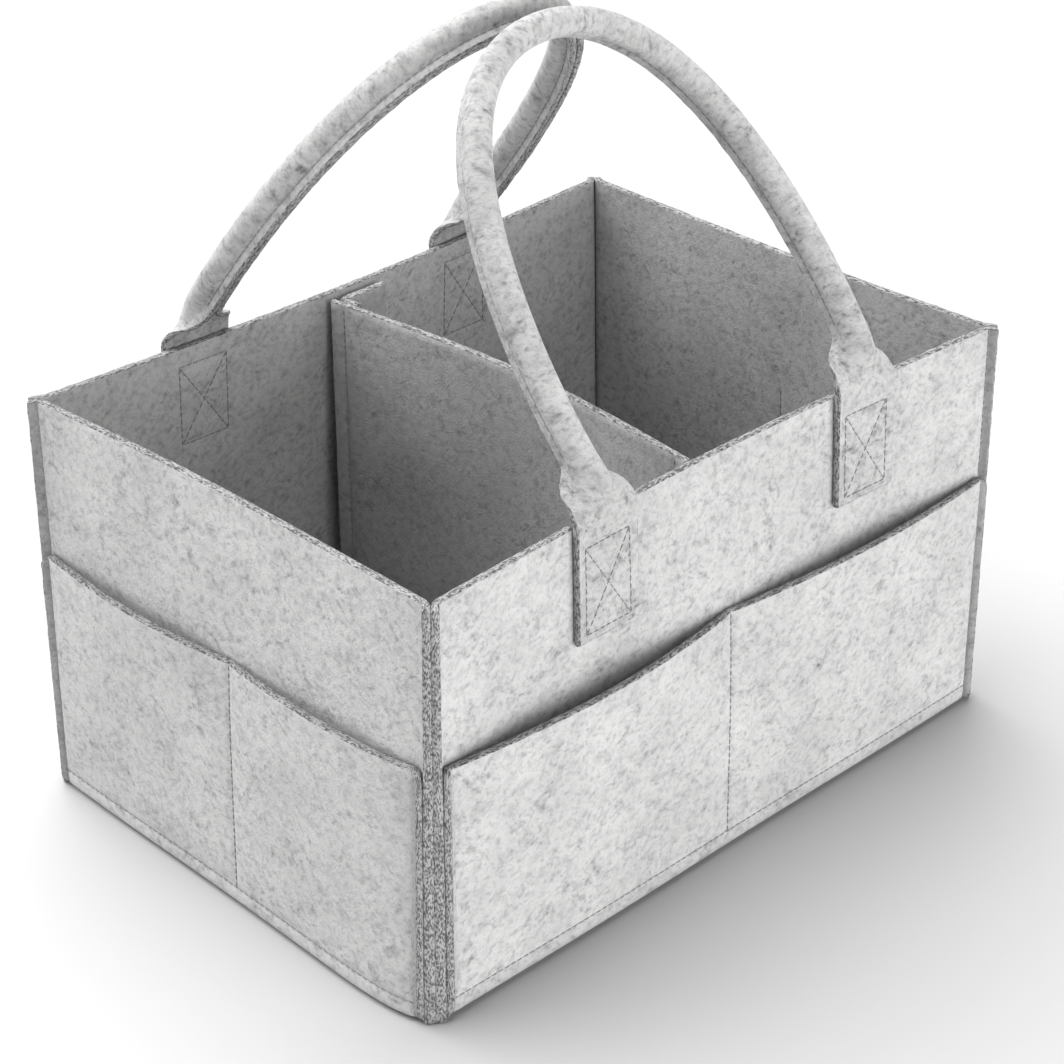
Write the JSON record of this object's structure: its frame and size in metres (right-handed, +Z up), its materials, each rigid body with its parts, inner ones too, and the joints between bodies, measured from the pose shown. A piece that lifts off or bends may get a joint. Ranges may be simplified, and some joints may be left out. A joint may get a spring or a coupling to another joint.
{
  "type": "diaper caddy",
  "caption": "Rectangular grey felt caddy with outer pockets all round, a lift-out divider and arched felt handles on the long sides.",
  "frame": {"origin": "middle of the footprint, on the surface that the caddy stands on", "axes": "+X along the long front wall to the right, +Y from the front wall to the back wall, +Z up"},
  "size_m": [0.3456, 0.248, 0.3307],
  "materials": {
    "wall_felt": "heathered light grey pressed felt, matt, raw cut edges",
    "pocket_felt": "heathered light grey pressed felt, matt, raw cut edges",
    "handle_felt": "heathered light grey pressed felt, rolled and stitched",
    "divider_felt": "heathered light grey pressed felt, matt, raw cut edges",
    "hook_tape": "grey woven tape with stiff hooks",
    "loop_tape": "grey woven tape with soft loops"
  },
  "bodies": {
    "root": {"front_wall": "wall_felt", "back_wall": "wall_felt", "left_wall": "wall_felt", "right_wall": "wall_felt", "front_pocket": "pocket_felt", "back_pocket": "pocket_felt", "left_pocket": "pocket_felt", "right_pocket": "pocket_felt", "base_panel": "wall_felt", "front_handle_tab_left": "handle_felt", "front_handle_tab_right": "handle_felt", "back_handle_tab_left": "handle_felt", "back_handle_tab_right": "handle_felt", "front_loop_tape": "loop_tape", "back_loop_tape": "loop_tape"},
    "front_handle": {"front_handle_loop": "handle_felt"},
    "back_handle": {"back_handle_loop": "handle_felt"},
    "divider": {"divider_web": "divider_felt", "divider_front_flange": "divider_felt", "divider_back_flange": "divider_felt", "divider_front_hook_tape": "hook_tape", "divider_back_hook_tape": "hook_tape"}
  },
  "joints": [
    {"name": "front_handle_swing", "type": "hinge", "parent": "root", "child": "front_handle", "pos_m": [0, -0.11461, 0.184], "axis": [1, 0, 0], "range_deg": [0, 170]},
    {"name": "back_handle_swing", "type": "hinge", "parent": "root", "child": "back_handle", "pos_m": [0, 0.11461, 0.184], "axis": [-1, 0, 0], "range_deg": [0, 170]},
    {"name": "divider_lift", "type": "slide", "parent": "root", "child": "divider", "axis": [0, 0, 1], "range_m": [0, 0.129]}
  ]
}
